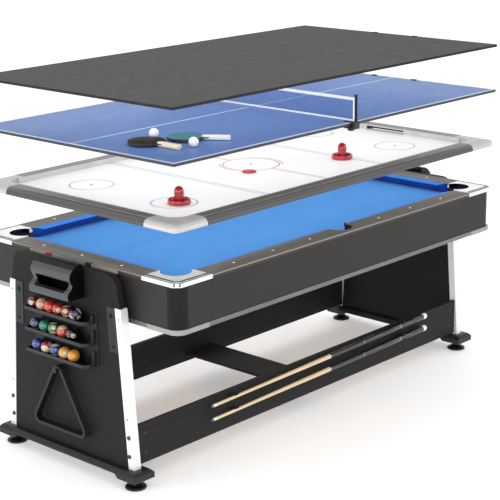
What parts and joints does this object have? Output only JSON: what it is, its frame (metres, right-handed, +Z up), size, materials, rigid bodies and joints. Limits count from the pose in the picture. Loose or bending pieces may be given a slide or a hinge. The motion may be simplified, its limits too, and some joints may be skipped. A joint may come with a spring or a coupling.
{
  "type": "multi-game table",
  "caption": "Four-in-one games table: pool cabinet on panel legs, with air-hockey deck, table-tennis top and dining top lifted above it, cues, bats, balls and strikers.",
  "frame": {"origin": "on the floor under the middle of the table", "axes": "+X along the table length, +Y across to the back long side, +Z up"},
  "size_m": [2.427, 1.216, 1.559],
  "materials": {
    "laminate_dark": "dark wood-grain laminate, satin",
    "laminate_grey": "grey-brown wood-grain laminate, satin",
    "panel_black": "charcoal laminate board, matte",
    "board_core": "bare fibreboard",
    "black_plastic": "moulded, fine texture",
    "graphite_plastic": "moulded, brushed metallic grey",
    "white_plastic": "white, smooth",
    "leg_aluminium": "satin silver extrusion",
    "casting_chrome": "bright cast corner",
    "guard_silver": "satin silver",
    "bolt_steel": "blackened",
    "pool_cloth": "blue napped billiard cloth",
    "cue_wood": "lacquered maple shaft, black butt",
    "hockey_white": "white low-friction laminate with printed lines",
    "hockey_rail_grey": "dark grey moulded rail",
    "bracket_silver": "satin silver corner bracket",
    "striker_red": "red, polished",
    "tt_blue": "blue painted board, white lines",
    "dining_grey": "plain matte dark grey board",
    "net_fabric": "open blue mesh with white tape",
    "bat_dark_face": "dark pimpled rubber, cream wood handle",
    "bat_teal_face": "blue-grey pimpled rubber, white handle",
    "ball_resin": "polished phenolic resin, assorted colours",
    "celluloid_white": "white table-tennis ball",
    "marker_red": "red",
    "marker_black": "black",
    "fan_plastic": "moulded"
  },
  "bodies": {
    "table_base": {"aprons": "laminate_dark", "corner_posts": "panel_black", "bottom_panel": "board_core", "bottom_trim_rails": "laminate_grey", "bottom_corner_guards": "guard_silver", "bed_joists": "board_core", "pool_bed": "board_core", "bed_cloth": "pool_cloth", "pool_rails": "laminate_grey", "rail_sights": "white_plastic", "cushions": "pool_cloth", "corner_castings": "casting_chrome", "pocket_cups": "black_plastic", "small_screws": "bolt_steel", "end_panel_left": "panel_black", "end_panel_right": "panel_black", "leg_extrusions": "leg_aluminium", "frame_bolts": "bolt_steel", "foot_beams": "black_plastic", "cabinet_spacer_blocks": "board_core", "stretchers": "panel_black", "cross_brace": "panel_black", "fixing_plates": "black_plastic", "score_strip": "white_plastic", "accessory_boxes": "graphite_plastic", "ball_rack": "black_plastic", "cue_clips": "black_plastic"},
    "hockey_deck": {"hockey_surface": "hockey_white", "hockey_plenum": "board_core", "hockey_rails": "hockey_rail_grey", "hockey_corner_brackets": "bracket_silver", "hockey_inner_walls": "white_plastic", "hockey_goal_boxes": "fan_plastic", "blower_housing": "fan_plastic"},
    "tennis_top": {"table_tennis_board": "tt_blue", "tennis_net": "net_fabric", "net_posts": "black_plastic"},
    "dining_top": {"dining_board": "dining_grey"},
    "triangle": {"ball_triangle": "black_plastic"},
    "bat_dark": {"bat_dark": "bat_dark_face"},
    "bat_teal": {"bat_teal": "bat_teal_face"},
    "blower_rotor": {"blower_rotor": "fan_plastic"},
    "cue_lower": {"cue_lower": "cue_wood"},
    "cue_upper": {"cue_upper": "cue_wood"},
    "leveller_back_left": {"leveller_back_left": "black_plastic"},
    "leveller_back_right": {"leveller_back_right": "black_plastic"},
    "leveller_front_left": {"leveller_front_left": "black_plastic"},
    "leveller_front_right": {"leveller_front_right": "black_plastic"},
    "net_clamp_screw_back": {"net_clamp_screw_back": "black_plastic"},
    "net_clamp_screw_front": {"net_clamp_screw_front": "black_plastic"},
    "balls_bottom": {"pool_balls_bottom_row": "ball_resin"},
    "balls_middle": {"pool_balls_middle_row": "ball_resin"},
    "balls_top": {"pool_balls_top_row": "ball_resin"},
    "puck": {"puck": "striker_red"},
    "score_marker_black": {"score_marker_black": "marker_black"},
    "score_marker_red": {"score_marker_red": "marker_red"},
    "striker_left": {"striker_left": "striker_red"},
    "striker_right": {"striker_right": "striker_red"},
    "tennis_ball_left": {"tennis_ball_left": "celluloid_white"},
    "tennis_ball_right": {"tennis_ball_right": "celluloid_white"}
  },
  "joints": [
    {"name": "hockey_lift", "type": "slide", "parent": "table_base", "child": "hockey_deck", "axis": [0, 0, 1], "range_m": [-0.195, 0]},
    {"name": "tennis_lift", "type": "slide", "parent": "hockey_deck", "child": "tennis_top", "axis": [0, 0, 1], "range_m": [-0.17, 0]},
    {"name": "dining_lift", "type": "slide", "parent": "tennis_top", "child": "dining_top", "axis": [0, 0, 1], "range_m": [-0.08, 0]},
    {"name": "leveller_front_left_turn", "type": "hinge", "parent": "table_base", "child": "leveller_front_left", "pos_m": [-1.11, -0.372, 0.05], "axis": [0, 0, 1], "continuous": true},
    {"name": "leveller_back_left_turn", "type": "hinge", "parent": "table_base", "child": "leveller_back_left", "pos_m": [-1.11, 0.372, 0.05], "axis": [0, 0, 1], "continuous": true},
    {"name": "leveller_front_right_turn", "type": "hinge", "parent": "table_base", "child": "leveller_front_right", "pos_m": [1.11, -0.372, 0.05], "axis": [0, 0, 1], "continuous": true},
    {"name": "leveller_back_right_turn", "type": "hinge", "parent": "table_base", "child": "leveller_back_right", "pos_m": [1.11, 0.372, 0.05], "axis": [0, 0, 1], "continuous": true},
    {"name": "score_marker_red_slide", "type": "slide", "parent": "table_base", "child": "score_marker_red", "axis": [0, 1, 0], "range_m": [-0.125, 0.085]},
    {"name": "score_marker_black_slide", "type": "slide", "parent": "table_base", "child": "score_marker_black", "axis": [0, 1, 0], "range_m": [-0.13, 0.078]},
    {"name": "balls_top_roll", "type": "slide", "parent": "table_base", "child": "balls_top", "axis": [0, 1, 0], "range_m": [-0.045, 0]},
    {"name": "balls_middle_roll", "type": "slide", "parent": "table_base", "child": "balls_middle", "axis": [0, 1, 0], "range_m": [-0.065, 0.009]},
    {"name": "balls_bottom_roll", "type": "slide", "parent": "table_base", "child": "balls_bottom", "axis": [0, 1, 0], "range_m": [-0.06, 0.013]},
    {"name": "triangle_swing", "type": "hinge", "parent": "table_base", "child": "triangle", "pos_m": [-1.15, 0.018, 0.42], "axis": [1, 0, 0], "range_deg": [-15, 15]},
    {"name": "cue_upper_pull", "type": "slide", "parent": "table_base", "child": "cue_upper", "axis": [0, -1, 0], "range_m": [0, 0.25]},
    {"name": "cue_lower_pull", "type": "slide", "parent": "table_base", "child": "cue_lower", "axis": [0, -1, 0], "range_m": [0, 0.25]},
    {"name": "blower_spin", "type": "hinge", "parent": "hockey_deck", "child": "blower_rotor", "pos_m": [0.62, 0, 1.05], "axis": [0, 0, 1], "continuous": true},
    {"name": "striker_left_slide", "type": "slide", "parent": "hockey_deck", "child": "striker_left", "axis": [1, 0, 0], "range_m": [-0.19, 0.5]},
    {"name": "striker_right_slide", "type": "slide", "parent": "hockey_deck", "child": "striker_right", "axis": [1, 0, 0], "range_m": [-0.4, 0.575]},
    {"name": "puck_slide", "type": "slide", "parent": "hockey_deck", "child": "puck", "axis": [1, 0, 0], "range_m": [-0.82, 1.07]},
    {"name": "net_clamp_front_turn", "type": "hinge", "parent": "tennis_top", "child": "net_clamp_screw_front", "pos_m": [0, -0.574, 1.32], "axis": [0, 0, 1], "continuous": true},
    {"name": "net_clamp_back_turn", "type": "hinge", "parent": "tennis_top", "child": "net_clamp_screw_back", "pos_m": [0, 0.574, 1.32], "axis": [0, 0, 1], "continuous": true},
    {"name": "bat_dark_lift", "type": "slide", "parent": "tennis_top", "child": "bat_dark", "axis": [0, 0, 1], "range_m": [0, 0.08]},
    {"name": "bat_teal_lift", "type": "slide", "parent": "tennis_top", "child": "bat_teal", "axis": [0, 0, 1], "range_m": [0, 0.08]},
    {"name": "tennis_ball_left_roll", "type": "slide", "parent": "tennis_top", "child": "tennis_ball_left", "axis": [1, 0, 0], "range_m": [0, 0.5]},
    {"name": "tennis_ball_right_roll", "type": "slide", "parent": "tennis_top", "child": "tennis_ball_right", "axis": [0, -1, 0], "range_m": [0, 0.13]}
  ]
}
